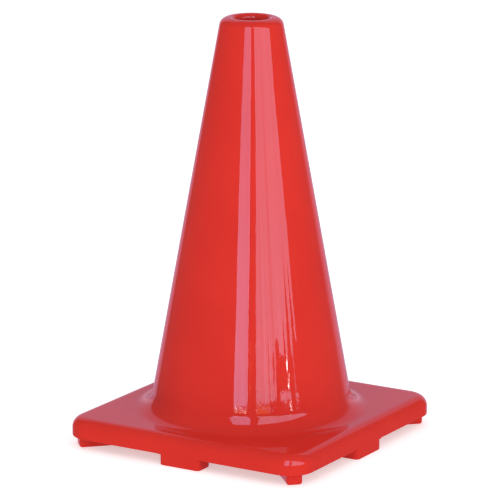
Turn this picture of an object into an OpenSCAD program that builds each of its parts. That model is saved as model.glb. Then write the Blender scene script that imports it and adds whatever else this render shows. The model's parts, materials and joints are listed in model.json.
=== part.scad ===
// Traffic cone of soft PVC with a square base, standing on eight feet.
// The origin is on the floor, under the middle of the cone, with +Z up.
// The thin cone has a flange at its foot, and the base is moulded round that flange.

/* [Cone] */
// Height of the whole cone above the floor
overall_h = 451; // [400:1:500]
// Diameter that the cone's slope reaches at the top face of the base
foot_d = 215.5; // [206:0.5:215.5]
// Diameter that the cone's slope reaches at full height
tip_d = 64.1; // [64:0.1:80]
// Thickness of the cone's wall
wall_t = 3; // [2:0.5:4]
// Width of the rounded rim at the top, which is a quarter of an oval
rim_w = 10.5; // [6:0.5:10.5]
// Height of the rounded rim at the top
rim_h = 8.5; // [5:0.5:9]
// Radius of the hollow curve from the cone into the base
root_r = 22; // [20:1:24]

/* [Top hole] */
// Diameter of the hole in the top
hole_d = 35; // [30:1:35]
// Length of the hole, from the top face down to the underside of its collar
hole_depth = 14; // [10:1:30]
// Radius that rounds the mouth of the hole
mouth_r = 5; // [1:0.5:5]

/* [Base] */
// Width of the square base
base_w = 289.5; // [289.5:0.5:320]
// Diameter of the round joint where the base meets the cone
joint_d = 236; // [232:1:238]
// Height of the base, from the lower edge of its skirt to its top face
base_h = 21; // [20:1:30]
// Radius of the four corners, seen from above
corner_r = 27; // [20:1:40]
// Radius that rounds the top edge
edge_r = 12; // [6:1:12]
// Thickness of the top plate
plate_t = 5; // [4:0.5:6]
// Thickness of the skirt
skirt_t = 6; // [5:0.5:8]

/* [Feet] */
// Height of the skirt's lower edge above the floor
foot_h = 11.5; // [6:0.5:20]
// Width of a side foot, along its side
side_foot_w = 49; // [30:1:60]
// Depth of a side foot, from the outside of the base inward
side_foot_depth = 25; // [16:0.5:30]
// Radius of a side foot's outer corners, seen from above
side_foot_outer_r = 5; // [2:0.5:5]
// Radius of a side foot's inner corners, seen from above
side_foot_inner_r = 7; // [2:0.5:8]
// Width of a corner foot
corner_foot_w = 16.5; // [10:0.5:20]

/* [Stacking ribs] */
// Number of ribs inside the cone
rib_count = 6; // [4:1:8]
// Thickness of a rib
rib_t = 3; // [2:0.5:5]
// Height of a rib above the cone's inner wall
rib_proud = 2.5; // [1:0.5:2.5]
// Length of a rib, up the cone
rib_len = 110; // [60:5:140]
// Gap between the ribs and the collar of the top hole
rib_gap = 3; // [2:1:20]

/* [Hidden] */
$fn = 128;

// Heights
base_top = foot_h + base_h;
plate_under = base_top - plate_t;
collar_under = overall_h - hole_depth;

// Slope of the cone
taper = (foot_d - tip_d) / 2 / (overall_h - base_top);
lean = atan(taper);
wall_across = wall_t / cos(lean);
function outer_r(z) = foot_d / 2 - taper * (z - base_top);
function inner_r(z) = outer_r(z) - wall_across;

// Hollow curve at the foot: it runs out on the base's top face at root_end
root_touch = root_r / tan(45 + lean / 2);
root_end = foot_d / 2 + root_touch;
root_centre = [root_end, base_top + root_r];
joint_r = joint_d / 2;
joint_angle = 180 + acos((root_end - joint_r) / root_r);

// Rounded rim: the oval touches the slope at rim_angle and the top face at 90 degrees
rim_z = overall_h - rim_h;
rim_centre = outer_r(rim_z) - norm([rim_w * cos(lean), rim_h * sin(lean)]) / cos(lean);
rim_angle = atan(tan(lean) * rim_h / rim_w);
mouth_centre = hole_d / 2 + mouth_r;

// Collar round the top hole: its underside widens at 45 degrees down to the wall
collar_foot = collar_under - (inner_r(collar_under) - hole_d / 2);

// Flange of the cone, and the ring of the base that holds it
flange_t = 4;
flange_grip = 5;
flange_r = joint_r + flange_grip;
flange_under = plate_under - flange_t;
hub_wall = 3;
hub_r = flange_r + hub_wall;
hub_floor_t = 5;
hub_under = flange_under - hub_floor_t;

// Inside of the skirt
cavity_w = base_w - 2 * skirt_t;
cavity_r = corner_r - skirt_t;

pvc_red = [0.87, 0.20, 0.17];
// Straight steps in each arc of a section
steps = 12;

// Points of an oval from angle a to angle b
function oval(centre, rx, ry, a, b) =
    [for (i = [0:steps]) let (t = a + (b - a) * i / steps) centre + [rx * cos(t), ry * sin(t)]];

// Points of an arc from angle a to angle b
function arc(centre, r, a, b) = oval(centre, r, r, a, b);

// Square with round corners, centred on the axis
module rounded_square(w, r) {
    square([w - 2 * r, w], center = true);
    square([w, w - 2 * r], center = true);
    for (x = [-1, 1], y = [-1, 1])
        translate([x, y] * (w / 2 - r)) circle(r = r);
}

// Section through the rim of the tray, from the centre of a corner outward
module rim_section() {
    polygon(concat(
        [[0, plate_under], [corner_r - skirt_t, plate_under], [corner_r - skirt_t, foot_h],
         [corner_r, foot_h]],
        arc([corner_r - edge_r, base_top - edge_r], edge_r, 0, 90),
        [[0, base_top]]));
}

// Tapered wall with its rounded top, top hole, hollow curve and flange
module cone_body() {
    outside = concat(
        [[flange_r, flange_under], [flange_r, plate_under], [joint_r, plate_under]],
        arc(root_centre, root_r, joint_angle, 180 + lean),
        oval([rim_centre, rim_z], rim_w, rim_h, rim_angle, 90),
        arc([mouth_centre, overall_h - mouth_r], mouth_r, 90, 180));
    inside = [
        [hole_d / 2, collar_under],
        [inner_r(collar_foot), collar_foot],
        [inner_r(flange_under), flange_under]];
    color(pvc_red) rotate_extrude() polygon(concat(outside, inside));
}

// Square plate with its skirt, the outer part of the hollow curve, and the ring that holds the flange
module base_tray() {
    hub_in = inner_r(flange_under);
    middle_w = base_w - 2 * corner_r;
    color(pvc_red) {
        difference() {
            union() {
                translate([-middle_w / 2, -middle_w / 2, plate_under]) cube([middle_w, middle_w, plate_t]);
                for (turn = [0:90:270]) rotate(turn) translate([middle_w / 2, 0, 0]) {
                    rotate([90, 0, 0]) linear_extrude(middle_w, center = true) rim_section();
                    translate([0, middle_w / 2, 0]) rotate_extrude(angle = 90) rim_section();
                }
            }
            cylinder(r = joint_r, h = 2 * base_top);
        }
        rotate_extrude() polygon(concat(
            [[joint_r, plate_under], [root_end, plate_under]],
            arc(root_centre, root_r, 270, joint_angle)));
        rotate_extrude() polygon([
            [hub_in, hub_under], [hub_r, hub_under], [hub_r, plate_under],
            [flange_r, plate_under], [flange_r, flange_under], [hub_in, flange_under]]);
    }
}

// Diagonal rib from the hub to the corner, deep enough to stand on the floor
module corner_foot(turn) {
    reach = base_w;
    color(pvc_red) rotate(turn) intersection() {
        difference() {
            rotate(45) translate([0, -corner_foot_w / 2, 0]) cube([reach, corner_foot_w, plate_under]);
            translate([0, 0, -1]) cylinder(r = hub_r, h = plate_under + 2);
        }
        linear_extrude(plate_under) rounded_square(cavity_w, cavity_r);
    }
}

// Outline of a side foot, seen from above
module side_foot_plan() {
    outer_x = base_w / 2 - side_foot_outer_r;
    inner_x = base_w / 2 - side_foot_depth + side_foot_inner_r;
    outer_y = side_foot_w / 2 - side_foot_outer_r;
    inner_y = side_foot_w / 2 - side_foot_inner_r;
    translate([inner_x, -side_foot_w / 2]) square([outer_x - inner_x, side_foot_w]);
    translate([outer_x, -outer_y]) square([side_foot_outer_r, 2 * outer_y]);
    translate([inner_x - side_foot_inner_r, -inner_y]) square([side_foot_inner_r, 2 * inner_y]);
    for (side = [-1, 1]) {
        translate([outer_x, side * outer_y]) circle(r = side_foot_outer_r);
        translate([inner_x, side * inner_y]) circle(r = side_foot_inner_r);
    }
}

// Block under the middle of a side: flush with the side below the skirt, and between skirt and hub above
module side_foot(turn) {
    color(pvc_red) rotate(turn) difference() {
        linear_extrude(plate_under) side_foot_plan();
        translate([base_w / 2 - skirt_t, -side_foot_w, foot_h])
            cube([2 * skirt_t, 2 * side_foot_w, base_h]);
        translate([0, 0, hub_under]) cylinder(r = hub_r, h = base_h);
    }
}

// Thin ribs that run up the cone's inner wall
module stacking_ribs() {
    top_z = collar_foot - rib_gap;
    low_z = top_z - rib_len;
    ramp = 3 * rib_proud;
    color(pvc_red) for (i = [0:rib_count - 1]) rotate(i * 360 / rib_count) intersection() {
        rotate([90, 0, 0]) linear_extrude(rib_t, center = true) polygon([
            [inner_r(low_z) + rib_t, low_z], [inner_r(top_z) + rib_t, top_z],
            [inner_r(top_z), top_z],
            [inner_r(top_z - ramp) - rib_proud, top_z - ramp],
            [inner_r(low_z + ramp) - rib_proud, low_z + ramp],
            [inner_r(low_z), low_z]]);
        rotate_extrude() polygon([
            [0, low_z], [inner_r(low_z), low_z], [inner_r(top_z), top_z], [0, top_z]]);
    }
}

cone_body();
base_tray();
corner_foot(0);  // corner_foot_1
corner_foot(90);  // corner_foot_2
corner_foot(180);  // corner_foot_3
corner_foot(270);  // corner_foot_4
side_foot(0);  // side_foot_1
side_foot(90);  // side_foot_2
side_foot(180);  // side_foot_3
side_foot(270);  // side_foot_4
stacking_ribs();
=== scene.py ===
"""Looks of a traffic cone of soft glossy PVC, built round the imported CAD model. Metres, +Z up."""
import json
from math import acos, atan, atan2, cos, hypot, pi, radians, sin, sqrt, tan

import bmesh
import bpy
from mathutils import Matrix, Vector


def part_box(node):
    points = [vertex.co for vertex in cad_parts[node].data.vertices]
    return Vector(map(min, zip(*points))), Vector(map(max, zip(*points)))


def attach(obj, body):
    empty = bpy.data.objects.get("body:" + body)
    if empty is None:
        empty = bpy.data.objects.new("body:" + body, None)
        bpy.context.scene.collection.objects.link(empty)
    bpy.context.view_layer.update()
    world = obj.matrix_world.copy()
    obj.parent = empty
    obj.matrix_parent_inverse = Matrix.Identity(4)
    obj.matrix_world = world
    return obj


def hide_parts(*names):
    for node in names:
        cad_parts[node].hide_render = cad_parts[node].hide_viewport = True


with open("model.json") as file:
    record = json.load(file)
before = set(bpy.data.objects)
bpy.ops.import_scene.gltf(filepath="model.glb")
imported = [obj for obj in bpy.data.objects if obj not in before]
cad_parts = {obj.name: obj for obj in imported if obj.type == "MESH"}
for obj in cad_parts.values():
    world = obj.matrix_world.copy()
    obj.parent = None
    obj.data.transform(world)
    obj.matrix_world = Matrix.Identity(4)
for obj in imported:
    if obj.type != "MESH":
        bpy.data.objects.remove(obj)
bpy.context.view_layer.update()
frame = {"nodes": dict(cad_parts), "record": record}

MM = 0.001
mount = {m["name"]: m for m in frame["record"]["mounts"]}

# ---- Sizes of the object, as in the CAD source ----
overall_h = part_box("cone_body")[1].z
base_top = mount["stack_seat"]["pos_m"][2]
half_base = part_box("base_tray")[1].x
foot_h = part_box("base_tray")[0].z
plate_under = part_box("side_foot_1")[1].z
flange_under, flange_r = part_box("cone_body")[0].z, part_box("cone_body")[1].x
hub_wall = 3 * MM
hub_floor_t = 5 * MM
hub_r = flange_r + hub_wall
hub_under = flange_under - hub_floor_t
hole_r = mount["top_hole"]["dims"]["r_mm"] * MM
foot_r = 107.75 * MM
tip_r = 32.05 * MM
wall_t = 3 * MM
rim_w = 10.5 * MM
rim_h = 8.5 * MM
mouth_r = 5 * MM
hole_depth = 14 * MM
root_r = 22 * MM
joint_r = 118 * MM
corner_r = 27 * MM
edge_r = 12 * MM
skirt_t = 6 * MM
side_foot_w = 49 * MM
side_foot_depth = 25 * MM
side_foot_outer_r = 5 * MM
side_foot_inner_r = 7 * MM
corner_foot_w = 16.5 * MM

# ---- Small roundings that the CAD leaves out ----
lip_r = 1.5 * MM
nick_r = 0.8 * MM
fillet_r = 2 * MM
side_foot_edge_r = 1.2 * MM
corner_foot_edge_r = 3 * MM

# ---- Slope of the cone ----
taper = (foot_r - tip_r) / (overall_h - base_top)
lean = atan(taper)


def outer_r(z):
    """Radius of the cone's outside at a height."""
    return foot_r - taper * (z - base_top)


def inner_r(z):
    """Radius of the cone's inside at a height."""
    return outer_r(z) - wall_t / cos(lean)


# ---- Hollow curve at the foot, rounded rim, and collar of the top hole ----
root_end = foot_r + root_r / tan((pi / 2 + lean) / 2)
root_centre = (root_end, base_top + root_r)
root_top_z = root_centre[1] - root_r * sin(lean)
joint_angle = pi + acos((root_end - joint_r) / root_r)
joint_z = root_centre[1] + root_r * sin(joint_angle)
rim_z = overall_h - rim_h
rim_centre = outer_r(rim_z) - hypot(rim_w * cos(lean), rim_h * sin(lean)) / cos(lean)
rim_angle = atan(tan(lean) * rim_h / rim_w)
rim_start_z = rim_z + rim_h * sin(rim_angle)
collar_under = overall_h - hole_depth
collar_foot = collar_under - (inner_r(collar_under) - hole_r)


# ---- Outlines ----
def spread(start, end, steps):
    """Evenly spaced values from start to end, without the end."""
    return [start + (end - start) * i / steps for i in range(steps)]


def oval(centre, across, up, start, end, steps):
    """Points of an oval between two angles in radians."""
    turns = spread(start, end, steps) + [end]
    return [(centre[0] + across * cos(t), centre[1] + up * sin(t)) for t in turns]


def arc(centre, radius, start, end, steps):
    """Points of an arc between two angles in radians."""
    return oval(centre, radius, radius, start, end, steps)


def fillet(before, corner, after, radius, steps=5):
    """Arc that rounds a corner of an outline."""
    corner = Vector(corner)
    back = (Vector(before) - corner).normalized()
    onward = (Vector(after) - corner).normalized()
    half = back.angle(onward) / 2
    centre = corner + (back + onward).normalized() * radius / sin(half)
    start = corner + back * radius / tan(half) - centre
    end = corner + onward * radius / tan(half) - centre
    sweep = pi - 2 * half
    points = []
    for share in spread(0, 1, steps) + [1]:
        spoke = (start * sin((1 - share) * sweep) + end * sin(share * sweep)) / sin(sweep)
        points.append(tuple(centre + spoke))
    return points


def rounded(corners):
    """Outline through (x, z, radius) corners, open at both ends."""
    flat = [c[:2] for c in corners]
    points = [flat[0]]
    for i in range(1, len(corners) - 1):
        radius = corners[i][2]
        points += fillet(flat[i - 1], flat[i], flat[i + 1], radius) if radius else [flat[i]]
    return points + [flat[-1]]


# ---- Meshes ----
def add_object(name, data):
    """Object in the scene that shows a mesh or a camera."""
    made = bpy.data.objects.new(name, data)
    bpy.context.scene.collection.objects.link(made)
    return made


def loft(name, rings, capped=False):
    """Mesh through closed rings of points. It closes on itself unless it is capped."""
    bm = bmesh.new()
    loops = [[bm.verts.new(p) for p in ring] for ring in rings]
    pairs = zip(loops, loops[1:]) if capped else zip(loops, loops[1:] + loops[:1])
    for low, high in pairs:
        for i in range(len(low)):
            bm.faces.new((low[i - 1], low[i], high[i], high[i - 1]))
    if capped:
        bm.faces.new(loops[0])
        bm.faces.new(loops[-1])
    bmesh.ops.recalc_face_normals(bm, faces=bm.faces)
    mesh = bpy.data.meshes.new(name)
    bm.to_mesh(mesh)
    bm.free()
    mesh.shade_smooth()
    mesh.set_sharp_from_angle(angle=radians(40))
    return add_object(name, mesh)


def circle(radius, z, angles):
    """Level ring of points round the cone's axis."""
    return [(radius * cos(a), radius * sin(a), z) for a in angles]


# ---- Cone ----
def shrink(z):
    """Sink mark: how far the soft wall has shrunk inward where it meets the thick foot."""
    top, deepest, bottom, depth = 53 * MM, 49 * MM, 41 * MM, 0.07 * MM
    share = (top - z) / (top - deepest) if z > deepest else (z - bottom) / (deepest - bottom)
    return depth * max(0, share) ** 2


def wall_points():
    """The cone's outer wall from the hollow curve up to the rim. Its rings are closer below middle_z."""
    above_curve, below_rim = 0.4 * MM, 0.5 * MM
    low_z, middle_z, high_z = root_top_z + above_curve, 90 * MM, rim_start_z - below_rim
    heights = spread(low_z, middle_z, 28) + spread(middle_z, high_z, 28) + [high_z]
    return [(outer_r(z), z) for z in heights]


def cone_skin():
    """The cone with its flange and collar: one outline turned round the axis."""
    sides = 288
    inside = rounded([
        (joint_r, joint_z, 0), (joint_r, plate_under, 0),
        (flange_r, plate_under, 0), (flange_r, flange_under, 0),
        (inner_r(flange_under), flange_under, nick_r),
        (inner_r(collar_foot), collar_foot, fillet_r),
        (hole_r, collar_under, nick_r), (hole_r, overall_h - mouth_r, 0)])
    outside = arc((hole_r + mouth_r, overall_h - mouth_r), mouth_r, pi, pi / 2, 16)[1:]
    outside += oval((rim_centre, rim_z), rim_w, rim_h, pi / 2, rim_angle, 24)
    outside += wall_points()[::-1]
    outside += arc(root_centre, root_r, pi + lean, joint_angle, 32)[:-1]
    outline = inside + [(r - shrink(z), z) for r, z in outside]
    return loft("cone_skin", [circle(r, z, spread(0, 2 * pi, sides)) for r, z in outline])


# ---- Base ----
def side_stations():
    """Places along one side of the base, with a short step at each end of its foot."""
    step = 2 * MM
    end, foot = half_base - corner_r, side_foot_w / 2
    ramp = foot + step
    over_foot = spread(-foot, foot, 12) + [foot]
    return spread(-end, -ramp, 16) + [-ramp] + over_foot + spread(ramp, end, 16)


def base_outline():
    """(side, place along it, angle in the corner) of each point round the base."""
    points = []
    for turn in range(4):
        points += [(turn, s, None) for s in side_stations()]
        points += [(turn, None, t) for t in spread(0, pi / 2, 20)]
    return points


def rotated(x, y, turn):
    """Point after a number of quarter turns."""
    for _ in range(turn):
        x, y = -y, x
    return x, y


def square_ring(inset, z, outline, rounding=0, across=0):
    """Ring round the base, inset from its outside. A rounded lower edge has the radius rounding and runs
    through the angles across, except over the feet, which are flush with the side."""
    slack = 0.01 * MM
    centre = half_base - corner_r
    ring = []
    for turn, s, t in outline:
        over_foot = s is not None and abs(s) <= side_foot_w / 2 + slack
        edge = 0 if over_foot else rounding
        inward, up = edge * (1 - cos(across)), edge * (1 - sin(across))
        reach = corner_r - inset - inward
        x, y = (centre + reach, s) if t is None else (centre + reach * cos(t), centre + reach * sin(t))
        x, y = rotated(x, y, turn)
        ring.append((x, y, z + up))
    return ring


def round_ring(radius, z, outline):
    """Ring at the same bearings as the points of the base's outside."""
    bearings = [atan2(y, x) for x, y, _ in square_ring(0, 0, outline)]
    return circle(radius, z, bearings)


def top_rings(outline):
    """From the joint along the hollow curve, over the top face and down the rounded edge."""
    gap = 0.4 * MM
    rings = [round_ring(r, z, outline) for r, z in arc(root_centre, root_r, joint_angle, 1.5 * pi, 10)]
    rings.append(round_ring(root_end + gap, base_top, outline))
    rings.append(square_ring(edge_r + gap, base_top, outline))
    for x, z in arc((-edge_r, base_top - edge_r), edge_r, pi / 2, 0, 14):
        rings.append(square_ring(-x, z, outline))
    rings.append(square_ring(0, base_top - edge_r - gap, outline))
    return rings


def skirt_rings(outline):
    """Round the skirt's lower edge and up its inside to the plate."""
    steps = 5
    rings = [square_ring(0, foot_h, outline, lip_r, pi / 2 * i / steps) for i in range(steps + 1)]
    rings.append(square_ring(skirt_t - nick_r, foot_h, outline))
    rings.append(square_ring(skirt_t, foot_h + nick_r, outline))
    rings.append(square_ring(skirt_t, plate_under - fillet_r, outline))
    for x, z in arc((0, plate_under - fillet_r), fillet_r, 0, pi / 2, steps)[1:]:
        rings.append(square_ring(skirt_t + fillet_r - x, z, outline))
    return rings


def hub_rings(outline):
    """Under the plate and round the ring that holds the cone's flange, back to the joint."""
    run_up = 5 * MM
    hub_in = inner_r(flange_under)
    points = rounded([
        (hub_r + run_up, plate_under, 0), (hub_r, plate_under, fillet_r), (hub_r, hub_under, nick_r),
        (hub_in, hub_under, nick_r), (hub_in, flange_under, 0), (flange_r, flange_under, 0),
        (flange_r, plate_under, 0), (joint_r, plate_under, 0)])
    return [round_ring(r, z, outline) for r, z in points[1:]]


def base_skin():
    """Plate, skirt and hub as one closed skin."""
    outline = base_outline()
    return loft("base_skin", top_rings(outline) + skirt_rings(outline) + hub_rings(outline))


# ---- Feet ----
def plan_ring(low, high, radii, inset, z):
    """Rectangle with round corners, seen from above. The radii are those of its inner and outer corners."""
    (x0, y0), (x1, y1) = low, high
    inner, outer = radii
    centres = [(x0 + inner, y0 + inner, inner), (x1 - outer, y0 + outer, outer),
               (x1 - outer, y1 - outer, outer), (x0 + inner, y1 - inner, inner)]
    ring = []
    for i, (x, y, r) in enumerate(centres):
        start = pi + i * pi / 2
        ring += [(px, py, z) for px, py in arc((x, y), r - inset, start, start + pi / 2, 6)]
    return ring


def foot_rings(low, high, radii, edge):
    """Rings from the foot's sole up to its full outline."""
    return [plan_ring(low, high, radii, edge * (1 - sin(t)), edge * (1 - cos(t)))
            for t in spread(0, pi / 2, 5) + [pi / 2]]


def turned(rings, angle):
    """The same rings turned round the cone's axis."""
    c, s = cos(angle), sin(angle)
    return [[(x * c - y * s, x * s + y * c, z) for x, y, z in ring] for ring in rings]


def side_foot(turn):
    """Block flush with the side below the skirt, and between the skirt and the hub above it. It is sunk a
    little into both."""
    sunk = 0.3 * MM
    deep, half = half_base - side_foot_depth, side_foot_w / 2
    behind, beside, shoulder = half_base - skirt_t + sunk, hub_r - sunk, hub_under + sunk
    radii = (side_foot_inner_r, side_foot_outer_r)
    rings = foot_rings((deep, -half), (half_base, half), radii, side_foot_edge_r)
    rings.append(plan_ring((deep, -half), (half_base, half), radii, 0, foot_h))
    rings += [plan_ring((deep, -half), (behind, half), radii, 0, z) for z in (foot_h, shoulder)]
    rings += [plan_ring((beside, -half), (behind, half), (sunk, sunk), 0, z)
              for z in (shoulder, plate_under)]
    return loft(f"side_foot_skin_{turn + 1}", turned(rings, turn * pi / 2), capped=True)


def corner_foot(turn):
    """Bar from the hub to the inside of a corner, sunk a little into the hub."""
    sunk = 0.5 * MM
    end = (half_base - corner_r) * sqrt(2) + corner_r - skirt_t
    low, high = (hub_r - sunk, -corner_foot_w / 2), (end, corner_foot_w / 2)
    radii = (corner_foot_edge_r, corner_foot_edge_r)
    rings = foot_rings(low, high, radii, corner_foot_edge_r)
    rings.append(plan_ring(low, high, radii, 0, plate_under))
    return loft(f"corner_foot_skin_{turn + 1}", turned(rings, pi / 4 + turn * pi / 2), capped=True)


# ---- Where the camera stands, and bearings counted from it ----
CAMERA_BEARING = radians(31.33)
CAMERA_DISTANCE = 3.7132
CAMERA_HEIGHT = 1.1147
CAMERA_PITCH = radians(13.81)
CAMERA_YAW = radians(0.024)
LENS = 261.45
SENSOR = 36


def towards(bearing):
    """Level direction at a bearing counted from the camera's own, positive to the right of the picture."""
    a = CAMERA_BEARING + bearing
    return Vector((sin(a), -cos(a), 0))


# ---- Materials ----
class Nodes:
    """Short way to add and join nodes in a material or world."""

    def __init__(self, tree):
        self.tree = tree
        tree.nodes.clear()

    def add(self, kind, inputs=None, **settings):
        node = self.tree.nodes.new(kind)
        for key, value in settings.items():
            setattr(node, key, value)
        for key, value in (inputs or {}).items():
            self.put(node.inputs[key], value)
        return node

    def put(self, socket, value):
        if isinstance(value, bpy.types.NodeSocket):
            self.tree.links.new(value, socket)
        else:
            socket.default_value = value

    def math(self, operation, *values):
        node = self.add("ShaderNodeMath", operation=operation)
        for socket, value in zip(node.inputs, values):
            self.put(socket, value)
        return node.outputs[0]

    def vector(self, operation, *values, output="Vector"):
        node = self.add("ShaderNodeVectorMath", operation=operation)
        for socket, value in zip(node.inputs, values):
            self.put(socket, value)
        return node.outputs[output]

    def dot(self, first, second):
        return self.vector("DOT_PRODUCT", first, second, output="Value")

    def height(self, place):
        """Z of a place or a direction."""
        return self.add("ShaderNodeSeparateXYZ", {"Vector": place}).outputs["Z"]

    def upright(self, place, share):
        """Place with only a share of its height, so that a pattern in it is drawn out upright."""
        node = self.add("ShaderNodeMapping", {"Vector": place, "Scale": (1.0, 1.0, share)})
        return node.outputs["Vector"]

    def noise(self, place, scale, detail, roughness=0.5):
        node = self.add("ShaderNodeTexNoise", {"Vector": place, "Scale": scale, "Detail": detail,
                                               "Roughness": roughness})
        return node.outputs["Fac"]

    def fade(self, value, low, high, to_low=0.0, to_high=1.0):
        node = self.add("ShaderNodeMapRange", {"Value": value, "From Min": low, "From Max": high,
                                               "To Min": to_low, "To Max": to_high},
                        interpolation_type="SMOOTHSTEP")
        return node.outputs["Result"]

    def mix(self, share, first, second):
        node = self.add("ShaderNodeMix", data_type="RGBA")
        self.put(node.inputs[0], share)
        self.put(node.inputs[6], first)
        self.put(node.inputs[7], second)
        return node.outputs[2]

    def bump(self, height, distance, normal=None):
        node = self.add("ShaderNodeBump", {"Strength": 1.0, "Distance": distance, "Height": height})
        if normal is not None:
            self.put(node.inputs["Normal"], normal)
        return node.outputs["Normal"]


def new_material(name):
    """Material without nodes, and what adds them."""
    material = bpy.data.materials.new(name)
    material.use_nodes = True
    return material, Nodes(material.node_tree)


WELD_BEARING = radians(24)
WELD_CORE = radians(14)
WELD_REACH = radians(36)
WELD_TOP = 0.19
WELD_FADE = 0.08


def weld_ripples(n, place):
    """Upright ripples low on the wall, where two streams of the melt met."""
    side = n.vector("NORMALIZE", n.vector("MULTIPLY", place, (1.0, 1.0, 0.0)))
    along = n.dot(side, tuple(towards(WELD_BEARING)))
    near = n.fade(along, cos(WELD_REACH), cos(WELD_CORE))
    low = n.fade(n.height(place), WELD_TOP, WELD_TOP - WELD_FADE)
    ripples = n.math("SUBTRACT", n.noise(n.upright(place, 0.08), 600.0, 1.0), 0.5)
    return n.math("MULTIPLY", ripples, n.math("MULTIPLY", near, low))


def pvc(name, flow_depth, weld_depth, scuff_top):
    """Glossy red soft PVC: faint mottling, orange peel, flow lines up the wall and scuffs near the floor."""
    material, n = new_material(name)
    place = n.add("ShaderNodeTexCoord").outputs["Object"]
    height = n.height(place)
    scuffs = n.math("MULTIPLY", n.fade(n.noise(place, 60.0, 6.0, 0.7), 0.54, 0.70),
                    n.fade(height, scuff_top, 0.0))

    mottle = n.fade(n.noise(place, 14.0, 3.0), 0.3, 0.7)
    flecks = n.math("MULTIPLY", n.fade(n.noise(place, 900.0, 1.0), 0.62, 0.8), 0.10)
    red = n.mix(mottle, (0.67, 0.032, 0.022, 1.0), (0.64, 0.029, 0.020, 1.0))
    red = n.mix(flecks, red, (0.76, 0.06, 0.04, 1.0))
    red = n.mix(n.math("MULTIPLY", scuffs, 0.35), red, (0.36, 0.04, 0.03, 1.0))

    haze = n.fade(n.noise(place, 35.0, 4.0, 0.6), 0.3, 0.75, 0.012, 0.025)
    rough = n.math("ADD", haze, n.math("MULTIPLY", scuffs, 0.25))

    # Orange peel is strong up to peel_top, and faint above it
    peel_top, peel_end = 58 * MM, 61 * MM
    grain = n.math("SUBTRACT", n.noise(place, 450.0, 1.0), 0.5)
    grain = n.math("MULTIPLY", grain, n.fade(height, peel_end, peel_top, 0.05, 1.0))
    surface = n.bump(grain, 0.01 * MM)
    surface = n.bump(n.noise(n.upright(place, 0.06), 200.0, 1.0), flow_depth, surface)
    if weld_depth:
        surface = n.bump(weld_ripples(n, place), weld_depth, surface)
    surface = n.bump(scuffs, 0.06 * MM, surface)

    shader = n.add("ShaderNodeBsdfPrincipled", {"Base Color": red, "Roughness": rough, "Normal": surface,
                                                "IOR": 1.52})
    n.add("ShaderNodeOutputMaterial", {"Surface": shader.outputs["BSDF"]})
    return material


def dress(piece, material):
    """Give a piece one material, in place of what it has."""
    piece.data.materials.clear()
    piece.data.materials.append(material)


# ---- Camera, light and floor ----
def camera():
    """Long lens that looks a little down on the cone."""
    data = bpy.data.cameras.new("camera")
    data.lens = LENS
    data.sensor_width = SENSOR
    cam = add_object("camera", data)
    cam.location = towards(0) * CAMERA_DISTANCE + Vector((0, 0, CAMERA_HEIGHT))
    cam.rotation_euler = (pi / 2 - CAMERA_PITCH, 0, CAMERA_BEARING + CAMERA_YAW)
    bpy.context.scene.camera = cam


def glow(name, mirrored, shed, streaks=0.0, low=1.0):
    """Light with one colour where the gloss mirrors it and another for the light that it sheds.
    Upright streaks dim the mirrored one, and its low part is brighter."""
    material, n = new_material(name)
    place = n.add("ShaderNodeTexCoord").outputs["Object"]
    streak = n.fade(n.noise(n.upright(place, 0.08), 9.0, 3.0, 0.6), 0.35, 0.7, 0.0, streaks)
    lift = n.fade(n.height(place), 0.7, 0.35, 1.0, low)
    share = n.math("MULTIPLY", n.math("SUBTRACT", 1.0, streak), lift)
    scaled = n.add("ShaderNodeVectorMath", {0: mirrored, "Scale": share}, operation="SCALE")
    glossy = n.add("ShaderNodeLightPath").outputs["Is Glossy Ray"]
    colour = n.mix(glossy, (*shed, 1.0), scaled.outputs["Vector"])
    shader = n.add("ShaderNodeEmission", {"Color": colour, "Strength": 1.0})
    n.add("ShaderNodeOutputMaterial", {"Surface": shader.outputs["Emission"]})
    return material


# The windows' plane, and heights in it: the windows' tops, the sill, the hedge's low part and its foliage.
# The twigs stand IN_FRONT of that plane.
WINDOW_BEARING = radians(-10)
WINDOW_DISTANCE = 2.3
WINDOW_TOP = 2.94
SILL = 0.23
HEDGE = 0.34
FOLIAGE = 0.60
IN_FRONT = 0.02


def sheet(name, points, material):
    """Flat face through the points."""
    mesh = bpy.data.meshes.new(name)
    mesh.from_pydata(points, [], [range(len(points))])
    made = add_object(name, mesh)
    dress(made, material)
    return made


def pane(name, corners, material, nearer=0.0):
    """Flat light in the windows' plane. A corner is its degrees to the right of WINDOW_BEARING, and its
    height."""
    ahead, aside = towards(WINDOW_BEARING), towards(WINDOW_BEARING + pi / 2)
    distance = WINDOW_DISTANCE - nearer
    points = [(ahead + aside * tan(radians(b))) * distance + Vector((0, 0, z)) for b, z in corners]
    light = sheet(name, points, material)
    light.visible_camera = False


def windows():
    """A narrow and a wide window over a sunlit sill."""
    narrow = glow("narrow_window_light", (1.3, 2.6, 4.0), (1.88, 1.83, 1.88), streaks=0.25, low=1.3)
    wide = glow("wide_window_light", (1.6, 2.6, 3.5), (2.04, 2.0, 2.0), streaks=0.35, low=1.15)
    bright = glow("sunlit_gap_light", (30.0, 28.0, 28.0), (2.0, 2.0, 2.0))
    sill = glow("sill_light", (1.9, 0.95, 0.3), (0.8, 0.6, 0.5))
    dark = glow("twig_dark", (0.1, 0.1, 0.12), (0.5, 0.5, 0.5))
    narrow_window(narrow, sill, bright)
    wide_window(wide, sill)
    hedge(wide, bright, dark)


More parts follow.
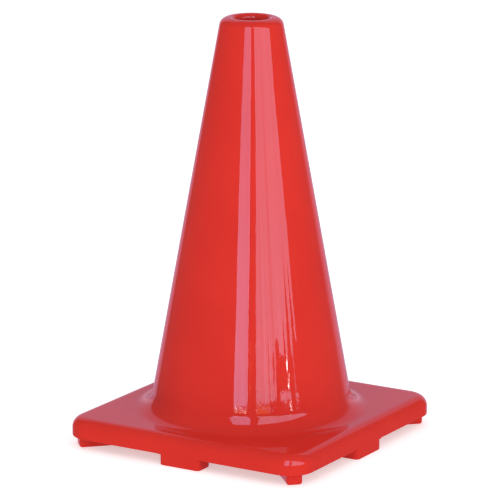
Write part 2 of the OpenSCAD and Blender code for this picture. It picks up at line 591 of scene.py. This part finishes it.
def narrow_window(light, sill, bright):
    """The window with a lit edge of its frame, and its sill with a sunlit edge."""
    pane("narrow_window", [
        (-10.4, SILL - 0.018), (5.5, SILL - 0.008), (8.5, 0.78), (8.5, WINDOW_TOP),
        (-14.4, WINDOW_TOP), (-14.2, 0.67), (-11.2, 0.4)], light)
    pane("frame_edge", [(8.0, 0.222), (8.6, 0.222), (9.2, 0.33), (8.7, 0.33)], sill)
    pane("narrow_sill", [(-10, 0.19), (5.3, 0.19), (5.3, 0.206), (-10, 0.206)], sill)
    pane("narrow_sill_edge", [(-10, 0.207), (5.3, 0.207), (5.3, 0.2085), (-10, 0.2085)], bright)


def wide_window(light, sill):
    """The window, whose lower right follows the top of the hedge outside, and its sill."""
    pane("wide_window", [
        (15.4, SILL + 0.002), (39, SILL + 0.017), (41, HEDGE + 0.022), (44.4, HEDGE + 0.022),
        (44.6, HEDGE - 0.005), (51.4, HEDGE), (53, 0.42), (54.2, HEDGE), (56.8, HEDGE),
        (60.3, FOLIAGE), (71, FOLIAGE), (72.3, 0.75), (72.3, 1.2), (76.5, 1.6), (76.5, WINDOW_TOP),
        (17.7, WINDOW_TOP), (19, 0.7), (16, 0.41)], light)
    pane("sill_end_1", [(15.4, 0.205), (15.9, 0.205), (15.9, SILL), (15.4, SILL)], light)
    pane("sill_end_2", [(30.6, 0.21), (31.2, 0.21), (31.1, 0.237), (30.5, 0.237)], light)
    pane("wide_sill", [(15.8, 0.19), (30, 0.19), (30, SILL + 0.005), (15.8, SILL)], sill)


def hedge(light, bright, dark):
    """Gaps that let light through the hedge, sunlit glints in it, and twigs in front of the wide window."""
    pane("gap_between_trunks_1", [(61.5, 0.36), (64.4, 0.355), (66.2, FOLIAGE), (60.7, FOLIAGE)], light)
    pane("gap_between_trunks_2", [(69, 0.42), (70.8, 0.41), (71, FOLIAGE), (66.9, FOLIAGE)], light)
    pane("gap_under_hedge_1", [(43.8, 0.248), (57.5, 0.249), (57.5, 0.268), (43.8, 0.266)], light)
    pane("gap_under_hedge_2", [(63, 0.247), (67.5, 0.245), (67.5, 0.264), (63, 0.267)], light)
    pane("slit_in_hedge", [(63.5, 0.24), (64.1, 0.24), (64.3, 0.352), (63.7, 0.352)], light)
    pane("sunlit_gap_1", [
        (54.1, 0.318), (55.4, 0.318), (55.7, HEDGE - 0.002), (54.4, HEDGE - 0.002)], bright)
    pane("sunlit_gap_2", [
        (54.2, 0.277), (55.5, 0.277), (57.0, 0.308), (56.7, 0.308), (55.2, 0.289)], bright)
    pane("sunlit_gap_3", [(55.0, 0.237), (56.4, 0.235), (56.3, 0.244), (55.2, 0.244)], bright)
    pane("sunlit_gap_4", [(56.2, 0.2165), (57.0, 0.2165), (57.0, 0.220), (56.2, 0.220)], bright)
    pane("twig_1", [(30.9, 0.24), (31.6, 0.24), (31.7, 0.36), (31.2, 0.36)], dark, IN_FRONT)
    pane("twig_2", [
        (36.2, 0.262), (37.8, 0.285), (38.2, 0.315), (37.2, 0.34), (36.2, 0.30)], dark, IN_FRONT)


def floor():
    """Pale matt floor that glows a little, and that the gloss doesn't mirror."""
    reach = 40
    material, n = new_material("floor_paint")
    shader = n.add("ShaderNodeBsdfPrincipled", {
        "Base Color": (0.84, 0.84, 0.84, 1.0), "Roughness": 0.9,
        "Emission Color": (1.0, 1.0, 1.0, 1.0), "Emission Strength": 0.47})
    n.add("ShaderNodeOutputMaterial", {"Surface": shader.outputs["BSDF"]})
    corners = [(-reach, -reach, 0), (reach, -reach, 0), (reach, reach, 0), (-reach, reach, 0)]
    plane = sheet("floor", corners, material)
    plane.visible_glossy = False


def surroundings():
    """Soft light from all round. The gloss mirrors a dark room with a mauve wall behind the cone, which is
    brightest just above the horizon. The camera sees white past the floor."""
    world = bpy.data.worlds.new("studio")
    bpy.context.scene.world = world
    world.use_nodes = True
    n = Nodes(world.node_tree)
    direction = n.add("ShaderNodeTexCoord").outputs["Generated"]
    up = n.height(direction)
    front = n.dot(direction, tuple(towards(0)))
    right = n.dot(direction, tuple(towards(pi / 2)))
    bearing = n.math("ARCTAN2", right, front)

    past_right_end = n.fade(bearing, radians(131), radians(147))
    past_left_end = n.fade(bearing, radians(-144), radians(-149))
    wall = n.math("ADD", past_right_end, past_left_end)
    wall = n.math("MULTIPLY", wall, n.math("MULTIPLY", n.fade(up, -0.5, -0.4), n.fade(up, 0.87, 0.7)))
    above = n.mix(n.fade(up, 0.0, 0.2), (0.78, 0.55, 0.72, 1.0), (0.52, 0.42, 0.60, 1.0))
    painted = n.mix(n.fade(up, -0.04, 0.0), (0.55, 0.37, 0.54, 1.0), above)
    mirrored = n.mix(wall, (0.10, 0.10, 0.12, 1.0), painted)

    level = n.mix(n.fade(right, 0.3, -0.9), (0.50, 0.49, 0.50, 1.0), (0.70, 0.69, 0.70, 1.0))
    shed = n.mix(n.fade(up, 0.2, 0.9), level, (0.78, 0.78, 0.79, 1.0))
    rays = n.add("ShaderNodeLightPath")
    colour = n.mix(rays.outputs["Is Glossy Ray"], shed, mirrored)
    colour = n.mix(rays.outputs["Is Camera Ray"], colour, (1.0, 1.0, 1.0, 1.0))
    shader = n.add("ShaderNodeBackground", {"Color": colour, "Strength": 1.0})
    n.add("ShaderNodeOutputWorld", {"Surface": shader.outputs["Background"]})


def build():
    """Every piece with its material, its body and the CAD node that it replaces."""
    cone_pvc = pvc("cone_pvc", flow_depth=0.02 * MM, weld_depth=0.014 * MM, scuff_top=45 * MM)
    base_pvc = pvc("base_pvc", flow_depth=0.01 * MM, weld_depth=0, scuff_top=14 * MM)
    made = [(cone_skin(), "cone_body", "cone_pvc"), (base_skin(), "base_tray", "base_pvc")]
    made += [(corner_foot(i), f"corner_foot_{i + 1}", "base_pvc") for i in range(4)]
    made += [(side_foot(i), f"side_foot_{i + 1}", "base_pvc") for i in range(4)]
    for piece, node, slot in made:
        dress(piece, cone_pvc if slot == "cone_pvc" else base_pvc)
        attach(piece, "root")
        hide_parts(node)
    dress(frame["nodes"]["stacking_ribs"], cone_pvc)


build()
camera()
windows()
floor()
surroundings()
bpy.context.scene.view_settings.view_transform = "Standard"
